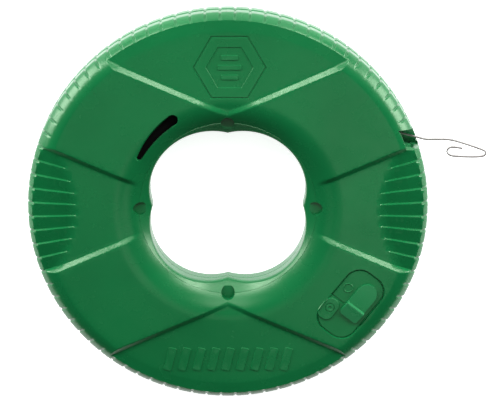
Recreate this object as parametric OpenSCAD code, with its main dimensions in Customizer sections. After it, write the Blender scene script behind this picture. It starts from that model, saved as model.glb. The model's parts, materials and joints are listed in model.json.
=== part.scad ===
// Fish tape reel: a ring-shaped case in two shells, with the tape on a drum inside it.
// The reel lies on its rear face at z = 0, its axis is Z, and its front face looks up.

/* [Case] */
// Outside radius of the case over the grip teeth
case_r = 152.5; // [151:0.5:154]
// Distance of the hand hole's four sides from the reel's axis
hole_r = 59.3; // [59.1:0.1:59.8]
// Thickness of the case from rear face to front face
case_t = 42; // [41:0.5:44]
// Width of the outer rim between the two shoulders
rim_t = 27; // [26:0.5:28]
// Wall thickness of the shells
wall = 2.6; // [2.2:0.1:2.8]
// Depth of the four sunk fields, at the rim
field_drop = 3; // [2.4:0.1:3.2]
// Slope of the field edges, degrees
field_slope = 23.5; // [22.5:0.5:24.5]

/* [Grip] */
// Number of grip teeth around the rim
teeth = 84; // [72:2:96]
// Width of the groove between two teeth
tooth_gap = 3; // [2.6:0.1:3.4]
// Depth of the grooves
tooth_depth = 1.5; // [1.2:0.1:1.6]

/* [Drum] */
// Bore radius of the drum
drum_bore_r = 77.55; // [77.5:0.01:77.6]
// Outside radius of the drum core, under the tape
core_r = 80.8; // [80.6:0.1:81]
// Outside radius of the wound tape
coil_r = 87.5; // [86.5:0.1:87.6]
// Outside radius of the drum flanges
flange_r = 104; // [103:0.5:104]
// Half the width of the winding
winding_h = 11.9; // [11:0.1:12]
// Thickness of a drum flange
flange_t = 1.8; // [1.6:0.1:2]

/* [Tape] */
// Width of the flat steel tape
tape_w = 3.2; // [3:0.1:3.4]
// Thickness of the flat steel tape
tape_t = 0.8; // [0.7:0.1:1.0]
// Distance of the straight run from the reel axis
run_d = 88.6; // [88.4:0.1:88.8]
// Direction in which the tape leaves, degrees
run_angle = -15; // [-15.5:0.1:-14.5]

/* [Lock] */
// Where the lock sits around the case, degrees
lock_angle = -38.2; // [-39:0.1:-37]
// Radius of the lock's track
track_r = 124.2; // [124:0.1:124.4]
// Travel of the lock slider
lock_travel = 14; // [12:0.5:14]
// Travel of the brake shoe towards the drum
brake_travel = 2; // [1.5:0.1:2]

/* [Hidden] */

mid = case_t / 2;               // parting plane, and the reel's half thickness
rim_h = rim_t / 2;
face_in_r = 76.6;               // where the hub's slope meets the face
face_out_r = 138.5;             // where the face meets the shoulder
crease_r = 67;                  // waist of the hub's slope
crease_h = 13;
neck_h = 7;                     // front height of the hub at the hand hole
rear_neck_h = 12;               // and its rear height
neck_r = 57;                    // the hub reaches this far in before the hand hole is cut
hole_off = 13.5;                 // the hand hole is four circles, this far off both axes
hole_arc_r = hole_r - hole_off;
hub_wall_r = 67.6;              // inside of the hub's wall
cavity_r = case_r - 4.9;         // inside of the rim, clear of the grip grooves
apex_y = 73.4;                  // point of the upper and lower fields
side_apex_x = 18.4;             // where the side fields' edges would meet
eps = 0.01;
fit = 0.3;                      // gap between moving parts
over = 5;                       // how far a cutter runs past what it cuts

screw_r = 68.5;                 // screw circle
head_r = 4.2;
head_h = 3.4;
head_seat = 2.5;                // height of the screw seat from the parting plane
bore_r = 5;                     // counterbore over a screw head
shank_r = 2;
insert_r = 3.3;
insert_l = 7;
insert_z = 0.8;                 // top of the shell's joint face to the insert
boss_r = 7.2;
dimple_at = 67;                 // blind dimples over the screw bosses, on the front
dimple_r = 5.2;
dimple_z = 9.6;
socket_r = 1.8;
socket_depth = 1.8;
hub_rib_in = 71;
hub_rib_out = 75;
rib_h = 15;

notch_r = 143;                  // inner end of the tape exit
notch_x = [120, 170];           // the exit's two side walls, each from one x to the other
notch_upper = [63.8, 60.3];
notch_lower = [52.8, 41.8];
lip_from = 27.2;                // the locating lip stops short of the exit, degrees
lip_sweep = 350;
rear_notch_h = 3.6;
guide_from = 91;                // along the straight run, from the point nearest the axis
guide_l = 20;
guide_w = 16;
guide_h = 12;

recess_r = 119.6;               // centre of the lock's recess
recess_l = 58;
recess_w = 34;
recess_corner = 13;
recess_depth = 1;
slider_l = 32;
slider_w = 15.8;
slider_t = 2;
slider_z = mid - 0.7;           // underside of the slider above the parting plane
slider_tip = 22;                // leading end of the slider along the track
slider_nose = 9;                // length of its rounded nose
slider_chamfer = 1.5;            // corners at its rear end
neck_at = 10;                   // neck and pin of the slider along the track
pad_gap = brake_travel + fit;
shoe_z = 11;
shoe_t = 4;
cover_z = 8.4;
rail_in = 21.6;                 // the two rails that carry the brake cover
rail_out = 25.5;
rail_r = 108;
rail_w = 24;
cover_t = 1.6;
cover_screw_r = 0.9;

// ---- frames -------------------------------------------------------------------------------
module at_mid() { translate([0, 0, mid]) children(); }
module ring(r_in, r_out, z0, z1) {
    translate([0, 0, z0]) difference() {
        cylinder(r = r_out, h = z1 - z0, $fn = 180);
        translate([0, 0, -over]) cylinder(r = r_in, h = z1 - z0 + 2 * over, $fn = 180);
    }
}
// +Y points along the straight run of the tape, and x = 0 is the run's centre line.
module on_run() { rotate(run_angle + 90) translate([run_d, 0, 0]) rotate(180) children(); }
// x runs outward from the reel's axis and y runs along the track, anticlockwise.
module on_lock() { rotate(lock_angle) children(); }

// ---- shells -------------------------------------------------------------------------------
module shell_profile(neck) polygon([
    [neck_r, 0], [case_r, 0], [case_r, rim_h], [case_r - 3.2, rim_h + 3], [face_out_r, mid],
    [face_in_r, mid], [face_in_r - 4, mid - 2.2], [crease_r, crease_h], [hole_r, neck],
    [neck_r, neck - 1]]);

module cavity_profile(drop) polygon([
    [hub_wall_r, -over], [cavity_r, -over], [cavity_r, rim_h - 3.2],
    [cavity_r - 3.6, rim_h + 0.4], [face_out_r - 2, mid - wall - drop],
    [face_in_r + 2, mid - wall], [face_in_r - 2, mid - wall - 2],
    [crease_r + wall, crease_h - 1], [hub_wall_r, crease_h - wall]]);

// The hand hole: four overlapping circles, so that four blunt cusps point inward.
module hand_hole() for (x = [-hole_off, hole_off]) for (y = [-hole_off, hole_off])
    translate([x, y, -over]) cylinder(r = hole_arc_r, h = mid + 2 * over, $fn = 180);

// Above the floor of the sunk fields: nothing at the hub, field_drop at the rim.
module field_profile() polygon([
    [face_in_r - 1, mid], [face_out_r, mid - field_drop], [case_r + over, mid - field_drop - 1.5],
    [case_r + over, mid + over], [face_in_r - 1, mid + over]]);

module fields_2d(grow) {
    far = 2 * case_r;
    g = grow / cos(field_slope);
    for (a = [0, 180]) {
        rotate(a) polygon([[0, apex_y - g], [far, apex_y - g + far * tan(field_slope)],
            [-far, apex_y - g + far * tan(field_slope)]]);
        rotate(a) polygon([[side_apex_x - 2 * g, 0],
            [far, (far - side_apex_x + 2 * g) * tan(field_slope)],
            [far, -(far - side_apex_x + 2 * g) * tan(field_slope)]]);
    }
}

module grip_outline() difference() {
    circle(r = case_r, $fn = 180);
    for (i = [0 : teeth - 1]) rotate((i + 0.5) * 360 / teeth)
        translate([case_r - tooth_depth, -tooth_gap / 2]) square([over, tooth_gap]);
}

// Nine saw-tooth ribs on each side field, in line with the grip teeth.
rib_from = 114;
rib_step = 3.5;
rib_to = 138;
module side_ribs() for (side = [0, 180]) rotate(side) for (i = [-4 : 4])
    rotate(i * 360 / teeth) translate([rib_from + abs(i) * rib_step, 0, mid - field_drop - 1])
        rotate([90, 0, 90]) linear_extrude(rib_to - rib_from - abs(i) * rib_step)
            polygon([[-3.4, 0], [0.8, 2.4], [1.2, 0]]);

module half_shell_body(neck) {
    difference() {
        intersection() {
            rotate_extrude($fn = 180) shell_profile(neck);
            linear_extrude(mid + over) grip_outline();
        }
        intersection() {
            rotate_extrude($fn = 180) field_profile();
            linear_extrude(mid + over) fields_2d(0);
        }
        rotate_extrude($fn = 180) cavity_profile(field_drop);
        intersection() {
            rotate_extrude($fn = 180) cavity_profile(0);
            difference() {
                translate([0, 0, -over]) cylinder(r = case_r, h = mid + over, $fn = 180);
                translate([0, 0, -2 * over]) linear_extrude(mid + 4 * over) fields_2d(wall);
            }
        }
    }
    side_ribs();
    ring(hub_rib_in, hub_rib_out, 0, rib_h);
    for (a = [0 : 90 : 270]) rotate(a) intersection() {
        translate([screw_r, 0, 0]) cylinder(r = boss_r, h = crease_h, $fn = 60);
        ring(hole_r + 1, hub_rib_out - 0.5, 0, crease_h);
    }
}

module exit_notch(depth) translate([0, 0, -over]) linear_extrude(depth + over) difference() {
    polygon([[notch_x[0], notch_lower[0]], [notch_x[1], notch_lower[1]],
        [notch_x[1], notch_upper[1]], [notch_x[0], notch_upper[0]]]);
    circle(r = notch_r, $fn = 180);
}

module guide_seat() intersection() {
    on_run() translate([-guide_w / 2 - 1.5, guide_from - 1, guide_h / 2])
        cube([guide_w + 3, guide_l + 2, mid]);
    rotate_extrude($fn = 180) polygon([[115, 0], [cavity_r - 2, 0], [cavity_r - 2, rim_h],
        [face_out_r - 1, mid - field_drop - 1.6], [115, mid - field_drop - 1]]);
}

// Comma-shaped slot along an arc: wide with a round end at the top, narrow at its lower end.
window_a = 120.4;
window_sweep = 27.6;
cap_steps = 8;
function window_mid(f) = 82 - 3.4 * f;
function window_half(f) = 4.1 - 2.1 * f + 0.25 * sin(180 * f);
function on_arc(r, f) = let (a = window_a + f * window_sweep) [r * cos(a), r * sin(a)];
function window_end(f, from) = [for (k = [1 : cap_steps - 1])
    let (a = window_a + f * window_sweep + from + k * 180 / cap_steps)
    on_arc(window_mid(f), f) + window_half(f) * [cos(a), sin(a)]];
function window_side(s, fs) = [for (f = fs) on_arc(window_mid(f) + s * window_half(f), f)];
module window_slot() let (fs = [for (k = [0 : 12]) k / 12], back = [for (k = [12 : -1 : 0]) k / 12])
    translate([0, 0, mid - 2 * over]) linear_extrude(3 * over)
        polygon(concat(window_side(1, fs), window_end(1, 0), window_side(-1, back), window_end(0, 180)));

module rounded_rect(w, l, r) {
    square([w - 2 * r, l], center = true);
    square([w, l - 2 * r], center = true);
    for (x = [-1, 1]) for (y = [-1, 1])
        translate([x * (w / 2 - r), y * (l / 2 - r)]) circle(r = r, $fn = 60);
}

module lock_recess() on_lock() {
    translate([recess_r, 0, mid - recess_depth]) linear_extrude(over)
        rounded_rect(recess_w, recess_l, recess_corner);
    translate([track_r - 3.3, neck_at - lock_travel - 3.8, mid - 2 * over])
        cube([6.6, lock_travel + 7.6, 3 * over]);
}

module lock_rails() on_lock() for (s = [-1, 1])
    translate([rail_r, s > 0 ? rail_in : -rail_out, cover_z + cover_t])
        difference() {
            cube([rail_w, rail_out - rail_in, mid - wall - cover_z - 1.5]);
            translate([rail_w / 2, (rail_out - rail_in) / 2, -over])
                cylinder(r = cover_screw_r, h = 9, $fn = 24);
        }

// Lip that centres the shells on each other; it stops short of the tape exit.
module locating_lip() rotate(lip_from)
    rotate_extrude(angle = lip_sweep, $fn = 180)
        polygon([[cavity_r - 2, -3], [cavity_r - fit, -3], [cavity_r - fit, 0],
            [cavity_r + eps, 0], [cavity_r + eps, 6], [cavity_r - 2, 6]]);

module front_shell() color("seagreen") at_mid() {
    difference() {
        union() {
            half_shell_body(neck_h);
            guide_seat();
            lock_rails();
            locating_lip();
        }
        hand_hole();
        for (a = [0 : 90 : 270]) rotate(a) {
            translate([dimple_at, 0, dimple_z]) cylinder(r = dimple_r, h = mid, $fn = 60);
            translate([screw_r, 0, -over])
                cylinder(r = insert_r, h = over + insert_z + insert_l + 0.2, $fn = 60);
        }
        exit_notch(mid);
        on_run() translate([-2.2, guide_from - 2, -over]) cube([4.4, 60, over + 2.4]);
        window_slot();
        lock_recess();
    }
}

module rear_shell() color("seagreen") at_mid() mirror([0, 0, 1]) difference() {
    union() {
        half_shell_body(rear_neck_h);
        guide_seat();
    }
    hand_hole();
    for (a = [0 : 90 : 270]) rotate(a) translate([screw_r, 0, 0]) {
        translate([0, 0, head_seat]) cylinder(r = bore_r, h = mid, $fn = 60);
        translate([0, 0, -over]) cylinder(r = shank_r + 0.2, h = mid, $fn = 40);
    }
    exit_notch(rear_notch_h);
    on_run() translate([-2.2, guide_from - 2, -over]) cube([4.4, 60, over + 2.4]);
}

// Screws driven from the rear, with a hexagon socket in the head.
module case_screws() color("dimgray") at_mid() mirror([0, 0, 1]) for (a = [0 : 90 : 270]) rotate(a)
    translate([screw_r, 0, 0]) difference() {
        union() {
            translate([0, 0, head_seat]) cylinder(r = head_r, h = head_h, $fn = 60);
            translate([0, 0, -insert_l]) cylinder(r = shank_r, h = insert_l + head_seat + eps, $fn = 40);
        }
        translate([0, 0, head_seat + head_h - socket_depth]) cylinder(r = socket_r, h = over, $fn = 6);
    }

module screw_inserts() color("goldenrod") at_mid() for (a = [0 : 90 : 270]) rotate(a)
    translate([screw_r, 0, insert_z]) difference() {
        cylinder(r = insert_r, h = insert_l, $fn = 60);
        translate([0, 0, -over]) cylinder(r = shank_r + 0.02, h = insert_l + 2 * over, $fn = 40);
    }

// ---- tape exit ----------------------------------------------------------------------------
module exit_guide() color("black") at_mid() on_run() difference() {
    translate([-guide_w / 2, guide_from, -guide_h / 2]) cube([guide_w, guide_l, guide_h]);
    translate([-2, guide_from - over, -2.2]) cube([4, guide_l + 2 * over, 4.4]);
    for (s = [-1, 1]) translate([s * 2.4, guide_from + 6, -guide_h])
        cylinder(r = 1.5, h = 2 * guide_h, $fn = 40);
}

module exit_pins() color("silver") at_mid() on_run() for (s = [-1, 1])
    translate([s * 2.4, guide_from + 6, -guide_h / 2]) cylinder(r = 1.48, h = guide_h, $fn = 40);

// ---- drum ---------------------------------------------------------------------------------
module glide_ring() ring(hub_rib_out + 0.02, drum_bore_r - 0.05, 1, winding_h + flange_t + 0.2);
module front_glide_ring() color("black") at_mid() glide_ring();
module rear_glide_ring() color("black") at_mid() mirror([0, 0, 1]) glide_ring();

anchor_angle = 200;
rivet_r = 79.2;
rivets = 8;
rivet_turn = 22.5;
module rivet_holes(r) for (i = [0 : rivets - 1]) rotate(i * 360 / rivets + rivet_turn)
    translate([rivet_r, 0, -mid]) cylinder(r = r, h = 2 * mid, $fn = 24);

module drum_core() color("black") at_mid() difference() {
    ring(drum_bore_r, core_r, -winding_h, winding_h);
    rivet_holes(0.8);
    rotate(anchor_angle) translate([core_r - 0.6, -5, -7]) cube([over, 10, 14]);
    rotate(anchor_angle) translate([drum_bore_r - over, 0, 0]) rotate([0, 90, 0])
        cylinder(r = 1.3, h = 3 * over, $fn = 32);
}

module flange() difference() {
    ring(drum_bore_r, flange_r, winding_h, winding_h + flange_t);
    for (i = [0 : 5]) rotate(i * 60 + 8) rotate_extrude(angle = 44, $fn = 180)
        translate([88, 0]) square([10, mid]);
    rivet_holes(0.8);
}
module drum_front_flange() color("black") at_mid() flange();
module drum_rear_flange() color("black") at_mid() mirror([0, 0, 1]) flange();

module drum_rivets() color("silver") at_mid() for (i = [0 : rivets - 1])
    rotate(i * 360 / rivets + rivet_turn) translate([rivet_r, 0, 0]) {
        cylinder(r = 0.78, h = 2 * (winding_h + flange_t), center = true, $fn = 24);
        for (s = [-1, 1]) translate([0, 0, s * (winding_h + flange_t + 0.35)])
            cylinder(r = 1.5, h = 0.7, center = true, $fn = 24);
    }

module tape_coil() color("silver") at_mid() difference() {
    ring(core_r, coil_r, -winding_h, winding_h);
    rotate(anchor_angle) translate([core_r - 1, -5.2, -7.2]) cube([1.5 + 1, 10.4, 14.4]);
}

module tape_anchor_clip() color("silver") at_mid() rotate(anchor_angle) difference() {
    translate([core_r - 0.6, -4.8, -6.8]) cube([1, 9.6, 13.6]);
    translate([core_r - over, 0, 0]) rotate([0, 90, 0]) cylinder(r = 1.3, h = 2 * over, $fn = 32);
}

module tape_anchor_screw() color("dimgray") at_mid() rotate(anchor_angle)
    translate([drum_bore_r + 0.2, 0, 0]) rotate([0, 90, 0]) {
        cylinder(r = 1.25, h = core_r + 0.4 - drum_bore_r, $fn = 32);
        translate([0, 0, core_r + 0.2 - drum_bore_r]) cylinder(r = 2.4, h = 1, $fn = 40);
    }

// ---- tape ---------------------------------------------------------------------------------
u = [cos(run_angle), sin(run_angle)];
foot = run_d * [cos(run_angle + 90), sin(run_angle + 90)];
run_from = 8;
run_to = 119;
// Bent end of the tape: out of the exit, then round into the open hook.
hook = [[144.8, 52.9], [150.6, 51.4], [156.2, 51.3], [162.2, 51.3], [168.2, 51.1],
    [174.2, 49.8], [180.2, 47.9], [186.2, 45.9], [191.7, 43.9], [195.2, 42.4],
    [196.5, 40.7], [195.4, 38.7], [192.2, 37.8], [186.2, 37.6], [180.2, 37.7], [174.2, 38],
    [169.7, 38.7], [167.2, 40.5], [166.9, 42.7], [168.5, 44.6], [171.2, 45.2],
    [174.7, 44.9], [178.6, 44.1]];
route = concat([for (s = [run_from, 40, 80, run_to]) foot + s * u], hook);

function curve(a, b, c, d, t) = 0.5 * (2 * b + (c - a) * t + (2 * a - 5 * b + 4 * c - d) * t * t
    + (3 * b - a - 3 * c + d) * t * t * t);
function along(p, steps) = let (n = len(p) - 1) concat([for (i = [0 : n - 1]) for (k = [0 : steps - 1])
    curve(p[max(i - 1, 0)], p[i], p[i + 1], p[min(i + 2, n)], k / steps)], [p[n]]);
function side(p, d) = let (n = len(p) - 1) [for (i = [0 : n])
    let (t = p[min(i + 1, n)] - p[max(i - 1, 0)], l = norm(t)) p[i] + d * [-t[1], t[0]] / l];
function backwards(p) = [for (i = [len(p) - 1 : -1 : 0]) p[i]];

module tape_lead() color("slategray") at_mid() translate([0, 0, -tape_w / 2])
    linear_extrude(tape_w) let (p = along(route, 4))
        polygon(concat(side(p, tape_t / 2), backwards(side(p, -tape_t / 2))));

// ---- lock and brake -----------------------------------------------------------------------
module slider_outline() translate([track_r, 0])
    let (w = slider_w / 2, back = slider_tip - slider_l, c = slider_chamfer)
    polygon(concat([[-w, back + c], [-w + c, back], [w - c, back], [w, back + c]],
        [for (k = [0 : 18]) [w * cos(k * 10), slider_tip - slider_nose * (1 - sin(k * 10))]]));

module lock_slider() color("mediumseagreen") at_mid() on_lock() {
    translate([0, 0, slider_z]) linear_extrude(slider_t) slider_outline();
    // thumb ridge, with a long slope at the back and a steep front
    intersection() {
        translate([track_r - slider_w / 2, slider_tip - slider_l, slider_z + slider_t - eps])
            rotate([90, 0, 90]) linear_extrude(slider_w)
                polygon([[0, 0], [8.8, 2.6], [10.4, 2.6], [11.2, 0]]);
        translate([0, 0, slider_z]) linear_extrude(3 * over) slider_outline();
    }
    translate([track_r - 3, neck_at - 3.5, mid - wall - 0.4]) cube([6, 7, slider_z - mid + wall + 0.5]);
}

module lock_retainer() color("black") at_mid() on_lock() difference() {
    translate([track_r - 6, neck_at - 6.5, mid - wall - 2]) cube([12, 13, 1.6]);
    translate([track_r, neck_at, shoe_z]) cylinder(r = 2, h = mid, $fn = 40);
}

module lock_pin() color("silver") at_mid() on_lock()
    translate([track_r, neck_at, shoe_z - 0.3])
        cylinder(r = 1.98, h = mid - wall - 0.4 - shoe_z + 0.3, $fn = 40);

module brake_shoe() color("darkslategray") at_mid() on_lock() difference() {
    intersection() {
        translate([flange_r, -21.2, shoe_z]) cube([31, 42.4, shoe_t]);
        ring(flange_r + pad_gap + 4, 138, shoe_z - 1, shoe_z + shoe_t + 1);
    }
    // cam slot, leaning so that the pin's travel along the track moves the shoe inward
    translate([0, 0, shoe_z - over]) {
        translate([track_r, neck_at, 0]) cylinder(r = 2.3, h = 4 * over, $fn = 40);
        translate([track_r + brake_travel, neck_at - lock_travel, 0])
            cylinder(r = 2.3, h = 4 * over, $fn = 40);
        translate([track_r, neck_at, 0]) rotate(atan2(-lock_travel, brake_travel))
            translate([0, -2.3, 0]) cube([norm([lock_travel, brake_travel]), 4.6, 4 * over]);
    }
}

module brake_pad() color("dimgray") at_mid() on_lock() intersection() {
    ring(flange_r + pad_gap, flange_r + pad_gap + 4, shoe_z, shoe_z + shoe_t);
    translate([flange_r - over, -14, shoe_z - 1]) cube([2 * over + 6, 28, shoe_t + 2]);
}

module brake_cover() color("black") at_mid() on_lock() difference() {
    translate([111, -rail_out, cover_z]) cube([18, 2 * rail_out, cover_t]);
    for (s = [-1, 1]) translate([rail_r + rail_w / 2, s * (rail_out + rail_in) / 2, 0])
        cylinder(r = cover_screw_r, h = mid, $fn = 24);
}

module brake_cover_screws() color("silver") at_mid() on_lock() for (s = [-1, 1])
    translate([rail_r + rail_w / 2, s * (rail_out + rail_in) / 2, cover_z - 1.2]) {
        cylinder(r = 1.7, h = 1.2, $fn = 32);
        cylinder(r = cover_screw_r - 0.02, h = 6, $fn = 24);
    }

front_shell();
rear_shell();
case_screws();
screw_inserts();
exit_guide();
exit_pins();
front_glide_ring();
rear_glide_ring();
drum_core();
drum_front_flange();
drum_rear_flange();
drum_rivets();
tape_coil();
tape_anchor_clip();
tape_anchor_screw();
tape_lead();
lock_slider();
lock_retainer();
lock_pin();
brake_shoe();
brake_pad();
brake_cover();
brake_cover_screws();
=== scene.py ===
import json
import math

import bmesh
import bpy
import numpy as np
from mathutils import Matrix, Vector
from mathutils.geometry import delaunay_2d_cdt


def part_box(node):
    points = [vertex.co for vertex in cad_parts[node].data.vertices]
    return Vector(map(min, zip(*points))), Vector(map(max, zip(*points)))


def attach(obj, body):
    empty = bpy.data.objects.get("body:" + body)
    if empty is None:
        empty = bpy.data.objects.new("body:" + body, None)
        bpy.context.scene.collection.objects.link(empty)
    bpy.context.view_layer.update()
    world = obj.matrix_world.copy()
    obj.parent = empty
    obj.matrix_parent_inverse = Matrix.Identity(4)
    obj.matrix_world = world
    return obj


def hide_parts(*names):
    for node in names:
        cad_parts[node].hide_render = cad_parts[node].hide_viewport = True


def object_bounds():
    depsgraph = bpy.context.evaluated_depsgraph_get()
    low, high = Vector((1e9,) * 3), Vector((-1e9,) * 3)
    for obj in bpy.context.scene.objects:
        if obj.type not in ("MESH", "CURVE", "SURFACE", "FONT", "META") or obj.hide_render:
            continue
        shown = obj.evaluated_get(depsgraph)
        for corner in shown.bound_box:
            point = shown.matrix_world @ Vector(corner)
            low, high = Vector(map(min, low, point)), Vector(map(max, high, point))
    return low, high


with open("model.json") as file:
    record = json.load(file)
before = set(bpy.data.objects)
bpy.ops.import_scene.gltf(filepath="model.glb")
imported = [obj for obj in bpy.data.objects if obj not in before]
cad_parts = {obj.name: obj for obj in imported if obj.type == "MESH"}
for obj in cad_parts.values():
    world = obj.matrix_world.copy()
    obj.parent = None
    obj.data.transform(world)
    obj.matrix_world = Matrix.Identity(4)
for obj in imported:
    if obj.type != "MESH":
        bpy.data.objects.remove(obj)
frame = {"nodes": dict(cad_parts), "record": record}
cad_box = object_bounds()
NODE_SLOTS = {p["node"]: p["material_slot"] for p in frame["record"]["subparts"]}
NODE_BODY = {n: body for body, ns in frame["record"]["behaviour"]["bodies"].items() for n in ns}

# ---- sizes, in millimetres from the parting plane unless a name says otherwise ----------------
MM = 0.001
REAR_BOX = [[c / MM for c in corner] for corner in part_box("rear_shell")]
CASE_R = cad_box[1][1] / MM              # outside radius over the grip teeth
HALF = REAR_BOX[1][2] - REAR_BOX[0][2]   # half the case's thickness
MID_Z = REAR_BOX[1][2]                   # height of the parting plane in the frame
HOLE_OFF, HOLE_ARC = 13.5, 45.8          # the hand hole is four circles, this far off both axes
FACE_IN, FACE_OUT = 76.6, 138.5          # the face lies between these radii
FILLET_R = 89.0                          # where the hub's wide fillet begins
CREASE = (67.0, 13.0)                    # radius and height where the hub turns into the neck
TEETH = 84                               # grip teeth around the rim
PER_TOOTH = 24                           # mesh columns to a tooth
RIM_COLS = TEETH * PER_TOOTH
HUB_COLS = TEETH * 8
INNER_COLS = TEETH * 2
GROOVE_DEPTH = 0.9                       # of the grooves between the teeth
FIELD_SLOPE = math.radians(23.5)         # of the straight sides of the sunk fields
SIDE_APEX, UPPER_APEX = 18.4, 73.4       # where those sides would cross the axes
FIELD_DROP_IN, FIELD_DROP_OUT = 2.2, 3.1  # depth of the fields at the hub and at the rim
EDGE = 0.35                              # half width of a rounded edge
RIBS = 4                                 # ribs each side of the middle one
LOCK_ANGLE = math.radians(-38.2)
LOCK_R, TRACK_R = 119.6, 124.2           # middle of the lock's recess, and of its slider
NECK_AT, LOCK_TRAVEL = 10.0, 14.0        # the slider's neck along the track, and how far it slides
NOTCH_R = 143.0                          # inner end of the tape exit
NOTCH_UPPER = ((120.0, 63.8), (170.0, 60.3))      # the tape exit's side walls in plan
NOTCH_LOWER = ((120.0, 52.8), (170.0, 41.8))
DIMPLE_AT, DIMPLE_R, DIMPLE_Z = 67.0, 5.2, 9.6    # the front's blind holes and their floor
SCREW_AT, HEAD_R, SHANK_R = 68.5, 5.0, 2.2        # the rear's screw holes
CLEAR = 40.0                                      # a height well past either face
WINDOW_FROM, WINDOW_SWEEP = math.radians(120.4), math.radians(27.6)
RECESS = (34, 58, 13)                    # the lock's recess: width, length and corner radius


# ---- small helpers ------------------------------------------------------------------------
def clamp(v, lo=0.0, hi=1.0):
    return np.minimum(np.maximum(v, lo), hi)


def smooth(t):
    t = clamp(t)
    return t * t * (3 - 2 * t)


def link(obj):
    bpy.context.scene.collection.objects.link(obj)
    return obj


def mesh_object(name, verts_mm, faces, lift=MID_Z):
    """A new object from points in millimetres, raised so that z = 0 is the parting plane."""
    mesh = bpy.data.meshes.new(name)
    mesh.from_pydata([(x * MM, y * MM, (z + lift) * MM) for x, y, z in verts_mm], [], faces)
    mesh.validate()
    return link(bpy.data.objects.new(name, mesh))


def clean(obj, distance_mm=0.002):
    bm = bmesh.new()
    bm.from_mesh(obj.data)
    bmesh.ops.remove_doubles(bm, verts=bm.verts, dist=distance_mm * MM)
    bmesh.ops.recalc_face_normals(bm, faces=bm.faces)
    bm.to_mesh(obj.data)
    bm.free()


def apply_modifiers(obj):
    graph = bpy.context.evaluated_depsgraph_get()
    mesh = bpy.data.meshes.new_from_object(obj.evaluated_get(graph))
    obj.modifiers.clear()
    obj.data = mesh


def cut(obj, cutter):
    mod = obj.modifiers.new("cut", "BOOLEAN")
    mod.operation, mod.solver, mod.object = "DIFFERENCE", "MANIFOLD", cutter
    apply_modifiers(obj)
    bpy.data.objects.remove(cutter)


def shade(obj, sharp_deg=32, weighted=True):
    for p in obj.data.polygons:
        p.use_smooth = True
    obj.data.set_sharp_from_angle(angle=math.radians(sharp_deg))
    if weighted:
        mod = obj.modifiers.new("normals", "WEIGHTED_NORMAL")
        mod.keep_sharp, mod.weight = True, 60


def loft(name, rings, lift=MID_Z):
    """A closed solid through rings of equal length, each a list of (x, y, z)."""
    n = len(rings[0])
    verts = [v for ring in rings for v in ring]
    faces = [(i * n + j, i * n + (j + 1) % n, (i + 1) * n + (j + 1) % n, (i + 1) * n + j)
             for i in range(len(rings) - 1) for j in range(n)]
    faces += [tuple(range(n))[::-1], tuple((len(rings) - 1) * n + j for j in range(n))]
    obj = mesh_object(name, verts, faces, lift)
    clean(obj)
    return obj


def prism(name, outline, z0, z1):
    return loft(name, [[(x, y, z) for x, y in outline] for z in (z0, z1)])


# ---- outlines in plan ---------------------------------------------------------------------
def turned(points, angle, at=(0, 0)):
    c, s = math.cos(angle), math.sin(angle)
    return [(at[0] + x * c - y * s, at[1] + x * s + y * c) for x, y in points]


def rounded_rect(w, h, r, steps=8):
    r = min(r, w / 2 - 1e-3, h / 2 - 1e-3)
    out = []
    for k, (sx, sy) in enumerate(((1, 1), (-1, 1), (-1, -1), (1, -1))):
        for i in range(steps + 1):
            a = math.pi / 2 * (k + i / steps)
            out.append((sx * (w / 2 - r) + r * math.cos(a), sy * (h / 2 - r) + r * math.sin(a)))
    return out


def circle(r, n=32):
    return [(r * math.cos(2 * math.pi * i / n), r * math.sin(2 * math.pi * i / n)) for i in range(n)]


def window_outline(grow=0.0):
    """A comma-shaped slot along an arc, wide with a round end at the top, narrow at its lower end."""
    def middle(f):
        """Radius and direction of the slot's middle line, f of the way along it."""
        return 82 - 3.4 * f, WINDOW_FROM + f * WINDOW_SWEEP

    def half_width(f):
        return 4.1 - 2.1 * f + 0.25 * math.sin(math.pi * f) + grow

    def edge(side, fs):
        out = []
        for f in fs:
            r, a = middle(f)
            r += side * half_width(f)
            out.append((r * math.cos(a), r * math.sin(a)))
        return out

    def round_end(f, turn, steps=8):
        r, a = middle(f)
        out = []
        for k in range(1, steps):
            b = a + turn + math.pi * k / steps
            out.append((r * math.cos(a) + half_width(f) * math.cos(b),
                        r * math.sin(a) + half_width(f) * math.sin(b)))
        return out

    fs = [i / 24 for i in range(25)]
    return edge(1, fs) + round_end(1, 0) + edge(-1, fs[::-1]) + round_end(0, math.pi)


# ---- reliefs on the face: each gives its drop at a point and the loops of its edges --------
class RectRelief:
    """A sunk or raised rounded rectangle; depth is downward, in millimetres."""

    def __init__(self, w, h, r, at, angle, depth, slope=0.3):
        self.w, self.h, self.r, self.at, self.angle = w, h, r, at, angle
        self.depth, self.slope = depth, slope

    def distance(self, x, y):
        c, s = math.cos(self.angle), math.sin(self.angle)
        dx, dy = x - self.at[0], y - self.at[1]
        u, v = np.abs(dx * c + dy * s), np.abs(-dx * s + dy * c)
        qx, qy = u - self.w / 2 + self.r, v - self.h / 2 + self.r
        outside = np.hypot(np.maximum(qx, 0), np.maximum(qy, 0))
        return outside + np.minimum(np.maximum(qx, qy), 0) - self.r

    def drop(self, x, y):
        return self.depth * clamp(-self.distance(x, y) / self.slope)

    def loops(self):
        for inset in (0.0, self.slope):
            w, h, r = self.w - 2 * inset, self.h - 2 * inset, max(self.r - inset, 0.02)
            yield turned(rounded_rect(w, h, r), self.angle, self.at)


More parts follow.
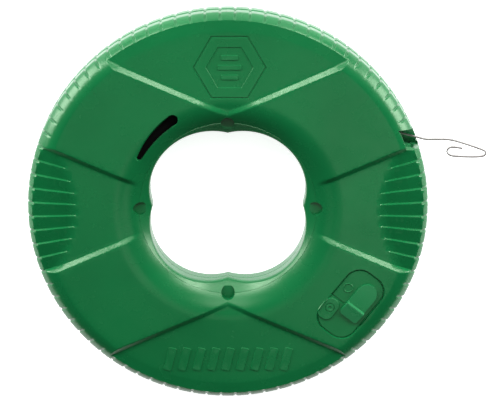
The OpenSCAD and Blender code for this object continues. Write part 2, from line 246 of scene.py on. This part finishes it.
class TrackRelief(RectRelief):
    """A groove just inside a rounded rectangle's outline, left out beside the raised petal."""

    width = 1.5

    def drop(self, x, y):
        d = self.distance(x, y)
        c, s = math.cos(self.angle), math.sin(self.angle)
        dx, dy = x - self.at[0], y - self.at[1]
        inward, along = -(dx * c + dy * s), -dx * s + dy * c
        beside = smooth((inward - 4) / 4) * smooth((-2 - along) / 3) * smooth((along + 26) / 4)
        return self.depth * (1 - beside) * clamp(np.minimum(-d, self.width + d) / self.slope)

    def loops(self):
        for inset in (0.0, self.slope, self.width - self.slope, self.width):
            w, h, r = self.w - 2 * inset, self.h - 2 * inset, max(self.r - inset, 0.02)
            yield turned(rounded_rect(w, h, r), self.angle, self.at)


class RingRelief:
    """A groove that follows a circle (n = 48) or a regular polygon (n = 6 and so on)."""

    def __init__(self, radius, width, at, depth, n=48, turn=0.0, slope=0.3, filled=False):
        self.radius, self.width, self.at, self.depth = radius, width, at, depth
        self.n, self.turn, self.slope, self.filled = n, turn, slope, filled

    def reach(self, x, y):
        """Distance outward from the centre, measured to the nearest side."""
        dx, dy = x - self.at[0], y - self.at[1]
        step = 2 * math.pi / self.n
        a = np.mod(np.arctan2(dy, dx) - self.turn, step) - step / 2
        return np.hypot(dx, dy) * np.cos(a)

    def drop(self, x, y):
        off = self.reach(x, y) - self.radius * math.cos(math.pi / self.n)
        inside = -off if self.filled else self.width / 2 - np.abs(off)
        return self.depth * clamp(inside / self.slope)

    def loops(self):
        half = self.width / 2
        steps = (-self.slope, 0.0) if self.filled else (-half, -half + self.slope, half - self.slope, half)
        for off in steps:
            r = self.radius + off / math.cos(math.pi / self.n)
            yield turned(circle(r, self.n), self.turn, self.at)


def on_lock(r, t):
    """Plan point at radius r and distance t along the lock's track."""
    c, s = math.cos(LOCK_ANGLE), math.sin(LOCK_ANGLE)
    return (r * c - t * s, r * s + t * c)


def front_reliefs():
    recess = (on_lock(LOCK_R, 0), LOCK_ANGLE)
    out = [RectRelief(*RECESS, *recess, 0.9, 0.5), TrackRelief(*RECESS, *recess, 0.8, 0.6)]
    # the lock's two label fields, marked with an open and a filled ring
    out.append(RectRelief(13.5, 1.3, 0.5, on_lock(109.6, -2.7), LOCK_ANGLE, 0.7, 0.4))
    out.append(RectRelief(13.0, 18.6, 5.5, on_lock(108.6, -13.4), LOCK_ANGLE, -0.9, 0.6))
    out.append(RingRelief(3.4, 1.0, on_lock(110.0, 9.0), -0.4, 24))
    out.append(RingRelief(3.4, 1.0, on_lock(109.0, -12.0), 0.4, 24))
    out.append(RingRelief(1.4, 1.0, on_lock(109.0, -12.0), 0.4, 24, filled=True))
    # a plain six-sided pad with three bars at the top, and a row of plain bars below
    badge = (1.5, 111.5)
    out.append(RingRelief(27, 1.5, badge, 0.55, 6))
    out.append(RingRelief(18, 1.0, badge, 0.5, 6, filled=True))
    for k in (-1, 0, 1):
        out.append(RectRelief(18 - 5 * abs(k), 4.0, 1.0, (badge[0], badge[1] + k * 7.5), 0.0, -0.6))
    for k in range(-4, 5):
        out.append(RectRelief(6.6, 19.0, 1.4, (k * 11.2, -119.5), math.radians(-14), -0.6))
    return out


# ---- the shell's outer surface ------------------------------------------------------------
def field_drop(r):
    f = np.maximum(r - FACE_IN, 0) / (FACE_OUT - FACE_IN)
    return (FIELD_DROP_IN + (FIELD_DROP_OUT - FIELD_DROP_IN) * f) * smooth((r - 68.5) / 13.0)


def bevel_width(r):
    return 2.9 + 0.25 * field_drop(r)


def field_distance(x, y):
    """How far a point lies inside the nearest sunk field; negative on the raised arms."""
    c, s = math.cos(FIELD_SLOPE), math.sin(FIELD_SLOPE)
    upper = (np.abs(y) - UPPER_APEX) * c - np.abs(x) * s
    side = (np.abs(x) - SIDE_APEX) * s - np.abs(y) * c
    return np.maximum(upper, side)


def sunk(x, y):
    r = np.hypot(x, y)
    return field_drop(r) * clamp(field_distance(x, y) / bevel_width(r))


PITCH = 2 * math.pi / TEETH
RIB_STEEP = 1 / 12                        # share of the pitch that the steep side takes


def rib_start(a):
    return 112.5 + 16.5 * (np.abs(a) / math.radians(17.5)) ** 2


def rib_drop(x, y):
    """Saw-tooth valleys between the ribs of the side fields, steep side facing +Y."""
    r = np.hypot(x, y)
    a = np.arctan2(y, np.abs(x))
    phase = np.mod(-a / PITCH + 0.5, 1.0)
    saw = np.where(phase < 1 - RIB_STEEP, phase / (1 - RIB_STEEP), (1 - phase) / RIB_STEEP)
    inside = np.abs(a) < (RIBS + 0.5) * PITCH
    rise = clamp((r - rib_start(a)) / 9.0)
    return np.where(inside, 1.8 * saw * rise, 0.0)


def hub_drop(r):
    """The hub's fillet, from its soft start on the face down to the crease."""
    f = clamp((FILLET_R - r) / (FILLET_R - CREASE[0]))
    return (HALF - CREASE[1]) * f ** 2.1


def hole_radius(theta):
    b = HOLE_OFF * (np.abs(np.cos(theta)) + np.abs(np.sin(theta)))
    return b + np.sqrt(b * b - 2 * HOLE_OFF ** 2 + HOLE_ARC ** 2)


def groove(theta):
    """1 in the grooves between the grip teeth and 0 on the teeth."""
    phase = np.abs(np.mod(theta / PITCH, 1.0) - 0.5)   # 0 in the middle of a groove
    return smooth((0.11 - phase) / 0.08)


# radius and height along the rim, from the face's outer ring round the shoulder to the parting plane
SHOULDER = [(138.5, 21.0), (140.0, 20.75), (141.5, 20.35), (143.0, 19.8), (144.5, 19.1), (146.0, 18.2),
            (147.5, 17.1), (148.8, 15.9), (150.0, 14.6), (151.0, 13.4), (151.8, 12.2), (152.3, 11.0),
            (152.5, 9.8), (152.5, 7.5), (152.5, 5.0), (152.5, 3.0), (152.4, 2.0), (152.0, 1.2),
            (151.3, 0.7), (150.3, 0.45), (149.9, 0.0)]
SHOULDER_R = max(r for r, z in SHOULDER)
SHOULDER = [(r * CASE_R / SHOULDER_R, z) if r > 140 else (r, z) for r, z in SHOULDER]
GROOVE_FROM, GROOVE_FULL = 145.5, 151.0   # the grooves begin, and reach their full depth


def outward_normals(points):
    """Unit normals of a profile of (radius, height) points, pointing away from the axis."""
    t = np.gradient(np.array(points), axis=0)
    n = np.stack([-t[:, 1], t[:, 0]], axis=1)
    n /= np.linalg.norm(n, axis=1)[:, None]
    return np.where(n[:, :1] < 0, -n, n)


def rim_rows(cols):
    """Rings of points from the face's outer ring down to the parting plane."""
    theta = np.arange(cols) * 2 * math.pi / cols
    rows = []
    for (r0, z0), (nr, nz) in zip(SHOULDER, outward_normals(SHOULDER)):
        depth = GROOVE_DEPTH * smooth((r0 - GROOVE_FROM) / (GROOVE_FULL - GROOVE_FROM))
        if z0 < 1.0:
            depth = depth * 0.15
        d = depth * groove(theta)
        r, z = r0 - d * nr, z0 - d * max(nz, 0.0)
        x, y = r * np.cos(theta), r * np.sin(theta)
        floor = HALF - sunk(x, y) - 0.1 * (r - FACE_OUT) * clamp(field_distance(x, y) / bevel_width(r))
        floor = floor - rib_drop(x, y) * clamp((151.5 - r0) / 4.0)
        rows.append(np.stack([x, y, np.minimum(z, floor)], axis=1))
    return rows


def hub_rows(cols, neck_slope):
    """Rings of points from the face's inner ring over the neck and down the hand hole's wall."""
    theta = np.arange(cols) * 2 * math.pi / cols
    hole = hole_radius(theta)
    ones = np.ones(cols)
    rows = []
    for k in range(13):                                   # face to crease
        r = FACE_IN + (CREASE[0] + 0.5 - FACE_IN) * k / 12
        x, y = r * np.cos(theta), r * np.sin(theta)
        rows.append(np.stack([x, y, HALF - hub_drop(ones * r) - sunk(x, y)], axis=1))

    def add(r, z):
        rows.append(np.stack([r * np.cos(theta), r * np.sin(theta), z * ones], axis=1))

    bead = CREASE[1] + 0.15
    add(ones * CREASE[0] + 0.3, bead + 0.35)
    add(ones * CREASE[0] - 0.4, bead - 0.25)

    def top(r):
        """Height of the neck's upper surface."""
        return bead - 0.25 - (CREASE[0] - 0.4 - r) * neck_slope

    for f in (0.3, 0.6, 0.85):
        r = CREASE[0] - 0.4 + (hole + 1.0 - CREASE[0] + 0.4) * f
        add(r, top(r))
    edge = top(hole + 1.0)
    for dr, dz in ((1.0, 0.0), (0.65, 0.5), (0.36, 1.2), (0.16, 2.1), (0.04, 3.2), (0.0, 4.4)):
        add(hole + dr, edge - dz)
    for dr, z in ((0.0, 2.0), (0.0, 0.6), (0.08, 0.25), (0.2, 0.0)):
        add(hole + dr, z)
    return rows


def ring_points(r, cols):
    return [(r * math.cos(2 * math.pi * i / cols), r * math.sin(2 * math.pi * i / cols))
            for i in range(cols)]


def line_to_rings(point, direction, step):
    """Points along a line from where it leaves the inner ring to where it meets the outer ring."""
    b = point[0] * direction[0] + point[1] * direction[1]
    c2 = point[0] ** 2 + point[1] ** 2

    def root(r):
        """Distance along the line to where it crosses the circle of radius r."""
        return math.sqrt(max(b * b - c2 + r * r, 0.0)) - b

    t1 = root(FACE_OUT)
    t0 = root(FACE_IN) if b * b - c2 + FACE_IN ** 2 > 0 else max(-b, 0.0)
    t0 = max(t0, 0.0)
    n = max(2, int((t1 - t0) / step))
    return [(point[0] + direction[0] * (t0 + (t1 - t0) * k / n),
             point[1] + direction[1] * (t0 + (t1 - t0) * k / n)) for k in range(n + 1)]


def face_mesh(reliefs):
    """Triangles of the face between its two rings; feature lines are kept as edges."""
    pts = ring_points(FACE_OUT, RIM_COLS) + ring_points(FACE_IN, HUB_COLS)
    edges = [(i, (i + 1) % RIM_COLS) for i in range(RIM_COLS)]
    edges += [(RIM_COLS + i, RIM_COLS + (i + 1) % HUB_COLS) for i in range(HUB_COLS)]

    def chain(points, closed=False):
        ids = range(len(pts), len(pts) + len(points))
        pts.extend(points)
        edges.extend(zip(ids, ids[1:]))
        if closed:
            edges.append((ids[-1], ids[0]))

    c, s = math.cos(FIELD_SLOPE), math.sin(FIELD_SLOPE)
    for sx in (1, -1):
        for sy in (1, -1):
            for share, off in ((0, -EDGE), (0, EDGE), (1, -EDGE), (1, EDGE)):
                for upper in (True, False):
                    base = (0.0, UPPER_APEX) if upper else (SIDE_APEX, 0.0)
                    line = line_to_rings(base, (c, s), 2.0)
                    moved = []
                    for p in line:
                        w = float(bevel_width(np.array(math.hypot(*p)))) * share + off
                        q = (p[0] - s * w, p[1] + c * w) if upper else (p[0] + s * w, p[1] - c * w)
                        if FACE_IN + 0.3 < math.hypot(*q) < FACE_OUT - 0.3:
                            moved.append(q)
                    if upper:
                        moved = [q for q in moved if q[0] > 0.05]
                    moved = [(sx * q[0], sy * q[1]) for q in moved]
                    if len(moved) > 1:
                        chain(moved)
    for side in (0, math.pi):
        for i in range(-RIBS - 1, RIBS + 1):
            for part in (0.5, 0.5 + RIB_STEEP, 1.0):
                a = (i + part) * PITCH
                if abs(a) > (RIBS + 0.6) * PITCH:
                    continue
                a_at = a if side == 0 else math.pi - a
                r0 = float(rib_start(np.array(a)))
                chain([(r * math.cos(a_at), r * math.sin(a_at))
                       for r in np.linspace(r0, FACE_OUT - 0.4, 14)])
    for relief in reliefs:
        for loop in relief.loops():
            chain(loop, closed=True)
    on_fillet = np.arange(FACE_IN + 0.9, FILLET_R + 1, 0.9)
    beyond = np.arange(FILLET_R + 4, FACE_OUT - 2, 4.0)
    for ring_r in (*on_fillet, *beyond):
        n = int(2 * math.pi * ring_r / (2.0 if ring_r < FILLET_R + 1 else 4.5))
        pts += ring_points(ring_r, n)
    verts, _, faces, _, _, _ = delaunay_2d_cdt([Vector(p) for p in pts], edges, [], 1, 1e-4)
    xy = np.array([(v.x, v.y) for v in verts])
    r = np.hypot(xy[:, 0], xy[:, 1])
    z = HALF - hub_drop(r) - sunk(xy[:, 0], xy[:, 1]) - rib_drop(xy[:, 0], xy[:, 1])
    for relief in reliefs:
        z = z - relief.drop(xy[:, 0], xy[:, 1])
    apothem = FACE_IN * math.cos(math.pi / HUB_COLS)

    def outside_hub(f):
        if all(abs(r[i] - FACE_IN) < 0.001 for i in f):
            return False
        mx, my = xy[list(f)].mean(axis=0)
        step = 2 * math.pi / HUB_COLS
        off = (math.atan2(my, mx) % step) - step / 2
        return math.hypot(mx, my) * math.cos(off) > apothem

    return np.column_stack([xy, z]), [tuple(f) for f in faces if outside_hub(f)]


# the shell's inner surface, from the parting plane at the rim to the parting plane at the hub
CAVITY = [(147.0, 0.0), (147.0, 8.6), (144.6, 11.8), (134.0, 14.6), (84.0, 17.2), (79.0, 15.9),
          (75.0, 14.6), (75.0, 0.0)]


def shell_solid(name, reliefs, mirror=False):
    """Half the case: rim, face, hub and cavity as one closed mesh."""
    verts, faces = [], []

    def add_rows(rows, flip=False):
        first, n = len(verts), len(rows[0])
        for row in rows:
            verts.extend(map(tuple, row))
        for i in range(len(rows) - 1):
            for j in range(n):
                a, b = first + i * n + j, first + i * n + (j + 1) % n
                quad = (a, b, b + n, a + n)
                faces.append(quad[::-1] if flip else quad)
        return first, first + (len(rows) - 1) * n

    _, rim_end = add_rows(rim_rows(RIM_COLS), True)
    _, hub_end = add_rows(hub_rows(HUB_COLS, 0.15 if mirror else 0.8))
    first = len(verts)
    top, tris = face_mesh(reliefs)
    verts.extend(map(tuple, top))
    faces.extend(tuple(first + i for i in f) for f in tris)
    theta = [2 * math.pi * i / INNER_COLS for i in range(INNER_COLS)]
    inner = [[(r * math.cos(a), r * math.sin(a), z) for a in theta] for r, z in CAVITY]
    in_first, in_end = add_rows(inner)

    def bridge(outer, outer_n, inner_ids):
        k = outer_n // INNER_COLS
        for j in range(INNER_COLS):
            run = [outer + (j * k + i) % outer_n for i in range(k + 1)]
            faces.append(tuple(run + [inner_ids + (j + 1) % INNER_COLS, inner_ids + j]))

    bridge(rim_end, RIM_COLS, in_first)
    bridge(hub_end, HUB_COLS, in_end)
    if mirror:
        verts = [(x, y, -z) for x, y, z in verts]
    obj = mesh_object(name, verts, faces)
    clean(obj)
    return obj


def sector(r0, r1, a0, a1, steps=12):
    arc = [math.radians(a0 + (a1 - a0) * i / steps) for i in range(steps + 1)]
    outline = [(r0 * math.cos(a), r0 * math.sin(a)) for a in arc]
    return outline + [(r1 * math.cos(a), r1 * math.sin(a)) for a in arc[::-1]]


def wall_y(walls, x):
    """Height in plan of one of the exit's side walls at x."""
    (x0, y0), (x1, y1) = walls
    return y0 + (y1 - y0) * (x - x0) / (x1 - x0)


def notch_outline(flare, steps=12):
    """The tape exit in plan, its lower wall moved down by the flare."""
    def meets(walls, dy):
        x = NOTCH_R
        for _ in range(20):
            x = math.sqrt(NOTCH_R ** 2 - (wall_y(walls, x) + dy) ** 2)
        return math.atan2(wall_y(walls, x) + dy, x)

    low, high = meets(NOTCH_LOWER, -flare), meets(NOTCH_UPPER, 0.0)
    arc = [low + (high - low) * i / steps for i in range(steps + 1)]
    outline = [(NOTCH_R * math.cos(a), NOTCH_R * math.sin(a)) for a in arc]
    return outline + [NOTCH_UPPER[1], (NOTCH_LOWER[1][0], NOTCH_LOWER[1][1] - flare)]


def join(obj, extras):
    """Adds the extra solids' meshes to obj."""
    bm = bmesh.new()
    bm.from_mesh(obj.data)
    for extra in extras:
        bm.from_mesh(extra.data)
        bpy.data.objects.remove(extra)
    bm.to_mesh(obj.data)
    bm.free()


def quarter_points(radius):
    return [(radius * math.cos(k * math.pi / 2), radius * math.sin(k * math.pi / 2)) for k in range(4)]


def make_front_shell():
    obj = shell_solid("front_case", front_reliefs())
    for at in quarter_points(DIMPLE_AT):
        cut(obj, prism("bore", turned(circle(DIMPLE_R, 48), 0, at), DIMPLE_Z, CLEAR))
    # each outline below is given by how far it is widened, and its height
    window = [[(x, y, z) for x, y in window_outline(grow)] for grow, z in
              ((0.0, 8.0), (0.0, 18.9), (1.0, 20.4), (1.0, 26.0))]
    cut(obj, loft("window", window))
    notch = [[(x, y, z) for x, y in notch_outline(flare)] for flare, z in
             ((0.0, -4), (0.0, 14.5), (2.4, 18.0), (3.0, 30))]
    cut(obj, loft("notch", notch))
    slot = rounded_rect(6.6, LOCK_TRAVEL + 7.6, 1.0)
    at = on_lock(TRACK_R, NECK_AT - LOCK_TRAVEL / 2)
    cut(obj, prism("slot", turned(slot, LOCK_ANGLE, at), 8, 30))
    cheeks = []
    for walls, x0, x1, dy in ((NOTCH_UPPER, 126.4, 134.5, 2.6), (NOTCH_LOWER, 131.2, 140.6, -2.6)):
        y0, y1 = wall_y(walls, x0), wall_y(walls, x1)
        cheeks.append(prism("cheek", [(x0, y0), (x1, y1), (x1, y1 + dy), (x0, y0 + dy)], 2.6, 13.0))
    cheeks.append(prism("wall", sector(141.6, NOTCH_R, 18.6, 27.0), 2.6, 16.0))
    join(obj, cheeks)
    return obj


def make_rear_shell():
    obj = shell_solid("rear_case", [], mirror=True)
    for at in quarter_points(SCREW_AT):
        cut(obj, prism("bore", turned(circle(HEAD_R, 48), 0, at), -CLEAR, -2.5))
        cut(obj, prism("bore", turned(circle(SHANK_R, 24), 0, at), -6, 3))
    cut(obj, prism("notch", notch_outline(0.0), -3.6, 5))
    join(obj, [prism("shelf", sector(141.6, 147.1, 17.5, 27.5), -9.0, -3.65)])
    return obj


# ---- materials ----------------------------------------------------------------------------
def material(name, colour, rough=0.4, metallic=0.0, rough_spread=0.08, bump=0.08, bump_scale=900.0,
             shade_spread=0.06, stretch=(1, 1, 1), specular=0.5, edge_wear=0.0, tint=(1, 1, 1)):
    """A procedural finish: broad shade changes, uneven gloss, fine bump and paler worn edges."""
    mat = bpy.data.materials.new(name)
    mat.use_nodes = True
    nodes, links = mat.node_tree.nodes, mat.node_tree.links
    bsdf = nodes["Principled BSDF"]
    bsdf.inputs["Metallic"].default_value = metallic
    bsdf.inputs["Specular IOR Level"].default_value = specular
    bsdf.inputs["Specular Tint"].default_value = (*tint, 1)
    coord = nodes.new("ShaderNodeTexCoord")
    mapping = nodes.new("ShaderNodeMapping")
    mapping.inputs["Scale"].default_value = stretch
    links.new(coord.outputs["Object"], mapping.inputs["Vector"])

    def noise(scale, detail):
        n = nodes.new("ShaderNodeTexNoise")
        n.inputs["Scale"].default_value = scale
        n.inputs["Detail"].default_value = detail
        links.new(mapping.outputs["Vector"], n.inputs["Vector"])
        return n

    broad, fine = noise(18.0, 4.0), noise(bump_scale, 3.0)
    ramp = nodes.new("ShaderNodeValToRGB")
    low = [c * (1 - shade_spread) for c in colour]
    high = [min(1.0, c * (1 + shade_spread)) for c in colour]
    ramp.color_ramp.elements[0].position, ramp.color_ramp.elements[1].position = 0.35, 0.65
    ramp.color_ramp.elements[0].color = (*low, 1)
    ramp.color_ramp.elements[1].color = (*high, 1)
    links.new(broad.outputs["Fac"], ramp.inputs["Fac"])
    colour_out = ramp.outputs["Color"]
    if edge_wear:
        geo = nodes.new("ShaderNodeNewGeometry")
        edge = nodes.new("ShaderNodeMapRange")
        edge.inputs["From Min"].default_value, edge.inputs["From Max"].default_value = 0.52, 0.60
        links.new(geo.outputs["Pointiness"], edge.inputs["Value"])
        mix = nodes.new("ShaderNodeMix")
        mix.data_type = "RGBA"
        mix.inputs["B"].default_value = (*[min(1, c * 1.5 + 0.05) for c in colour], 1)
        scale = nodes.new("ShaderNodeMath")
        scale.operation = "MULTIPLY"
        scale.inputs[1].default_value = edge_wear
        links.new(edge.outputs["Result"], scale.inputs[0])
        links.new(scale.outputs["Value"], mix.inputs["Factor"])
        links.new(colour_out, mix.inputs["A"])
        colour_out = mix.outputs["Result"]
    links.new(colour_out, bsdf.inputs["Base Color"])
    rough_map = nodes.new("ShaderNodeMapRange")
    rough_map.inputs["To Min"].default_value = max(0.02, rough - rough_spread)
    rough_map.inputs["To Max"].default_value = min(1.0, rough + rough_spread)
    streak = noise(60.0, 6.0)
    links.new(streak.outputs["Fac"], rough_map.inputs["Value"])
    links.new(rough_map.outputs["Result"], bsdf.inputs["Roughness"])
    relief = nodes.new("ShaderNodeBump")
    relief.inputs["Strength"].default_value = bump
    relief.inputs["Distance"].default_value = 0.0002
    links.new(fine.outputs["Fac"], relief.inputs["Height"])
    links.new(relief.outputs["Normal"], bsdf.inputs["Normal"])
    return mat


PLASTIC_TINT = (0.78, 1.0, 0.74)
GREEN = material("case_green", (0.003, 0.118, 0.033), rough=0.26, bump=0.10, bump_scale=1400,
                 edge_wear=0.3, specular=0.5, tint=PLASTIC_TINT)
LOCK_GREEN = material("lock_green", (0.005, 0.150, 0.045), rough=0.26, bump=0.08, bump_scale=1400,
                      edge_wear=0.3, tint=PLASTIC_TINT)
BLACK = material("black_plastic", (0.0025, 0.002, 0.002), rough=0.6, bump=0.15, specular=0.08)
TAPE = material("tape_steel", (0.22, 0.20, 0.19), rough=0.36, metallic=1.0, bump=0.1,
                stretch=(1, 1, 6), shade_spread=0.2)
STEEL = material("plain_steel", (0.55, 0.55, 0.54), rough=0.3, metallic=1.0, shade_spread=0.08)
DARK_STEEL = material("dark_steel", (0.08, 0.08, 0.085), rough=0.38, metallic=1.0)
BRASS = material("insert_brass", (0.72, 0.50, 0.20), rough=0.3, metallic=1.0)
RUBBER = material("pad_rubber", (0.02, 0.02, 0.02), rough=0.8, bump=0.3, specular=0.3)

BY_SLOT = {"green_plastic": GREEN, "lock_plastic": LOCK_GREEN, "black_plastic": BLACK,
           "tape_steel": TAPE, "plain_steel": STEEL, "dark_steel": DARK_STEEL,
           "insert_brass": BRASS, "pad_rubber": RUBBER}


def stand_for(obj, node):
    """Gives obj the node's finish and body, and puts it in the node's place."""
    slot = NODE_SLOTS[node]
    obj.data.materials.clear()
    obj.data.materials.append(BY_SLOT[slot])
    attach(obj, NODE_BODY[node])
    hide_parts(node)


def dress_cad_nodes():
    for name, obj in frame["nodes"].items():
        for slot in obj.material_slots:
            slot.material = BY_SLOT[NODE_SLOTS[name]]


# ---- tape coil ----------------------------------------------------------------------------
def make_tape_coil():
    """The winding as separate turns: layers outward, columns across the drum."""
    low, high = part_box("tape_coil")
    outer = high[0] / MM
    layers, columns, segs = 4, 7, 168
    core = 80.8
    pitch_r, pitch_z = (outer - core) / layers, (high[2] - low[2]) / MM / columns
    verts, faces = [], []
    for i in range(layers):
        for j in range(columns):
            r0, r1 = core + i * pitch_r + 0.03, core + (i + 1) * pitch_r - 0.03
            zc = (j - (columns - 1) / 2) * pitch_z
            h = pitch_z / 2 - 0.12
            first = len(verts)
            for k in range(segs):
                a = 2 * math.pi * k / segs
                for r, z in ((r0, zc - h), (r1 - 0.02, zc - h), (r1, zc), (r1 - 0.02, zc + h), (r0, zc + h)):
                    verts.append((r * math.cos(a), r * math.sin(a), z))
            for k in range(segs):
                for m in range(5):
                    a, b = first + k * 5 + m, first + k * 5 + (m + 1) % 5
                    c, d = first + ((k + 1) % segs) * 5 + (m + 1) % 5, first + ((k + 1) % segs) * 5 + m
                    faces.append((a, d, c, b))
    obj = mesh_object("tape_turns", verts, faces)
    clean(obj, 0.0005)
    return obj


# ---- softened copies of CAD nodes ---------------------------------------------------------
def soften(node, width_mm, segments=2, angle=28):
    """A copy of a CAD node with its sharp edges rounded; it takes the node's place."""
    source = frame["nodes"][node]
    obj = link(bpy.data.objects.new(node + "_soft", source.data.copy()))
    clean(obj, 0.001)
    bm = bmesh.new()
    bm.from_mesh(obj.data)
    bmesh.ops.dissolve_limit(bm, angle_limit=math.radians(0.5), verts=bm.verts, edges=bm.edges)
    bm.to_mesh(obj.data)
    bm.free()
    mod = obj.modifiers.new("bevel", "BEVEL")
    mod.width, mod.segments, mod.limit_method = width_mm * MM, segments, "ANGLE"
    mod.angle_limit = math.radians(angle)
    apply_modifiers(obj)
    shade(obj, 40)
    stand_for(obj, node)


# ---- build --------------------------------------------------------------------------------
dress_cad_nodes()
for name, width in (("lock_slider", 0.35), ("case_screws", 0.25), ("exit_guide", 0.4),
                    ("brake_shoe", 0.3), ("brake_cover", 0.3), ("lock_retainer", 0.3)):
    soften(name, width)
front = make_front_shell()
rear = make_rear_shell()
for obj, node in ((front, "front_shell"), (rear, "rear_shell")):
    shade(obj, 30)
    stand_for(obj, node)
coil = make_tape_coil()
shade(coil, 40, weighted=False)
stand_for(coil, "tape_coil")

# ---- stage --------------------------------------------------------------------------------
TILT = math.radians(16.3)
PHOTO_W, PIXEL = 490, 0.7661            # picture width, and the millimetres one pixel spans
PHOTO_CENTRE = Vector((13.05 * MM, 0.0, MID_Z * MM))


def add_floor():
    mesh = bpy.data.meshes.new("floor")
    size = 4.0
    corners = [(x * size, y * size, 0) for x, y in ((-1, -1), (1, -1), (1, 1), (-1, 1))]
    mesh.from_pydata(corners, [], [(0, 1, 2, 3)])
    floor = link(bpy.data.objects.new("floor", mesh))
    mat = bpy.data.materials.new("floor_white")
    mat.use_nodes = True
    bsdf = mat.node_tree.nodes["Principled BSDF"]
    bsdf.inputs["Base Color"].default_value = (0.92, 0.92, 0.92, 1)
    bsdf.inputs["Roughness"].default_value = 0.9
    bsdf.inputs["Emission Color"].default_value = (1, 1, 1, 1)
    bsdf.inputs["Emission Strength"].default_value = 0.85
    mesh.materials.append(mat)
    floor.location.z = -0.0005


def add_area(name, location, target, size, energy, size_y=None):
    data = bpy.data.lights.new(name, "AREA")
    data.energy, data.size = energy, size
    if size_y:
        data.shape, data.size_y = "RECTANGLE", size_y
    lamp = link(bpy.data.objects.new(name, data))
    lamp.location = location
    aim = Vector(target) - Vector(location)
    lamp.rotation_euler = aim.to_track_quat("-Z", "Y").to_euler()


def add_camera():
    data = bpy.data.cameras.new("camera")
    cam = link(bpy.data.objects.new("camera", data))
    up = Vector((0, math.cos(TILT), -math.sin(TILT)))
    back = Vector((0, math.sin(TILT), math.cos(TILT)))
    right = up.cross(back)
    distance = 2.0
    turn = Matrix((right, up, back)).transposed()
    cam.matrix_world = Matrix.Translation(PHOTO_CENTRE + back * distance) @ turn.to_4x4()
    width = PHOTO_W * PIXEL * MM
    data.sensor_width = 36.0
    data.lens = data.sensor_width * distance / width
    data.clip_end = 50
    bpy.context.scene.camera = cam


def add_world(strength):
    world = bpy.data.worlds.new("studio")
    world.use_nodes = True
    background = world.node_tree.nodes["Background"]
    background.inputs["Color"].default_value = (1, 1, 1, 1)
    background.inputs["Strength"].default_value = strength
    bpy.context.scene.world = world


add_floor()
add_area("key", (0.05, 1.6, 1.25), (0, 0.05, 0), 2.2, 20, size_y=0.4)
for side in (-1, 1):
    add_area("edge_light", (side * 0.88, 1.3, 0.9), (0, 0, 0), 0.7, 13, size_y=0.45)
add_area("haze", (0.36, -0.42, 2.0), (0.05, 0, 0), 0.8, 1.3, size_y=0.5)
add_area("haze_left", (-0.36, -0.36, 2.0), (0, 0, 0), 0.4, 0.35, size_y=0.4)
add_area("high", (0.0, 1.1, 1.9), (0, 0, 0), 0.8, 7)
add_area("left", (-1.6, 0.75, 0.42), (0, 0, 0), 0.9, 32, size_y=0.9)
add_area("back", (0.0, 1.9, 0.35), (0, 0, 0), 2.4, 9, size_y=0.6)
add_area("right", (1.65, 0.6, 0.45), (0, 0, 0), 0.9, 30, size_y=0.9)
add_world(0.05)
bpy.context.scene.view_settings.view_transform = "Standard"
add_camera()
